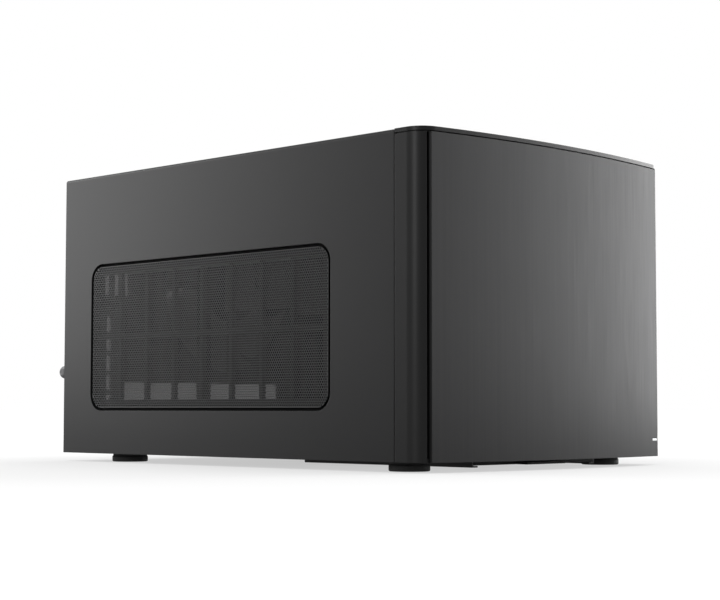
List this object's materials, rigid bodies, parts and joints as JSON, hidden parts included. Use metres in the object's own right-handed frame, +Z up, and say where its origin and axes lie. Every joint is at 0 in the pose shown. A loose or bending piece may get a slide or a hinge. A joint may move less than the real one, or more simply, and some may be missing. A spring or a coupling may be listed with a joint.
{
  "type": "mini-itx computer case",
  "caption": "Small box-shaped computer case with a folded steel cover, a perforated side vent, a bowed aluminium front and an open chassis with fans and drive brackets.",
  "frame": {"origin": "on the floor, under the middle of the overall box", "axes": "+Z up, the front faces -Y, +X to the right seen from the front"},
  "size_m": [0.25, 0.3816, 0.21],
  "materials": {
    "cover_steel": "fine matt black powder coat",
    "mesh_steel": "matt black perforated sheet",
    "chassis_steel": "matt black coat",
    "white_steel": "satin white coat",
    "fascia_aluminium": "black anodised, brushed upright",
    "bezel_plastic": "fine textured black",
    "filter_plastic": "matt black",
    "filter_media": "open nylon weave, dark",
    "fan_frame_plastic": "matt black",
    "fan_rotor_plastic": "satin white",
    "screw_steel": "black oxide",
    "standoff_brass": "plain",
    "port_metal": "plain",
    "port_plastic": "black",
    "circuit_board": "green solder mask",
    "light_lens": "milky",
    "foot_rubber": "matt black"
  },
  "bodies": {
    "case": {"outer_cover": "cover_steel", "side_vent_mesh": "mesh_steel", "psu_vent_mesh": "mesh_steel", "base_tray": "chassis_steel", "rear_panel": "chassis_steel", "front_panel": "chassis_steel", "drive_beam": "chassis_steel", "psu_bracket": "chassis_steel", "drive_bracket_left": "white_steel", "drive_bracket_centre": "white_steel", "drive_bracket_right": "white_steel", "slot_cover_inner": "white_steel", "slot_cover_outer": "white_steel", "fascia_plate": "fascia_aluminium", "bezel_frame": "bezel_plastic", "side_filter_frame": "filter_plastic", "front_filter_frame": "filter_plastic", "side_filter_mesh": "filter_media", "front_filter_mesh": "filter_media", "front_fan_left_frame": "fan_frame_plastic", "front_fan_right_frame": "fan_frame_plastic", "rear_fan_frame": "fan_frame_plastic", "front_fan_screws": "screw_steel", "rear_fan_screws": "screw_steel", "drive_bracket_screws": "screw_steel", "slot_screws": "screw_steel", "cover_thumbscrews": "screw_steel", "board_standoffs": "standoff_brass", "inlet_pins": "standoff_brass", "usb_port_lower": "port_metal", "usb_port_upper": "port_metal", "headphone_jack": "port_plastic", "microphone_jack": "port_plastic", "power_inlet": "port_plastic", "fan_speed_switch": "port_plastic", "power_switch": "port_plastic", "io_board": "circuit_board", "fan_control_board": "circuit_board", "power_led_lens": "light_lens", "feet": "foot_rubber", "psu_pads": "foot_rubber"},
    "front_left_rotor": {"front_fan_left_rotor": "fan_rotor_plastic"},
    "front_right_rotor": {"front_fan_right_rotor": "fan_rotor_plastic"},
    "rear_rotor": {"rear_fan_rotor": "fan_rotor_plastic"},
    "button": {"power_button": "bezel_plastic"},
    "speed_knob": {"fan_speed_knob": "port_plastic"},
    "floor_filter": {"psu_filter_frame": "filter_plastic", "psu_filter_mesh": "filter_media"}
  },
  "joints": [
    {"name": "front_fan_left_spin", "type": "hinge", "parent": "case", "child": "front_left_rotor", "pos_m": [-0.0546, -0.1335, 0.151], "axis": [0, 1, 0], "continuous": true},
    {"name": "front_fan_right_spin", "type": "hinge", "parent": "case", "child": "front_right_rotor", "pos_m": [0.0546, -0.1335, 0.151], "axis": [0, 1, 0], "continuous": true},
    {"name": "rear_fan_spin", "type": "hinge", "parent": "case", "child": "rear_rotor", "pos_m": [0.017, 0.1575, 0.135], "axis": [0, 1, 0], "continuous": true},
    {"name": "power_button_press", "type": "slide", "parent": "case", "child": "button", "axis": [-1, 0, 0], "range_m": [0, 0.001], "stiffness_N_per_m": 900, "springref_m": -0.0005},
    {"name": "fan_speed_slide", "type": "slide", "parent": "case", "child": "speed_knob", "axis": [0, 0, 1], "range_m": [-0.003, 0.003]},
    {"name": "floor_filter_slide", "type": "slide", "parent": "case", "child": "floor_filter", "axis": [0, -1, 0], "range_m": [0, 0.12]}
  ]
}
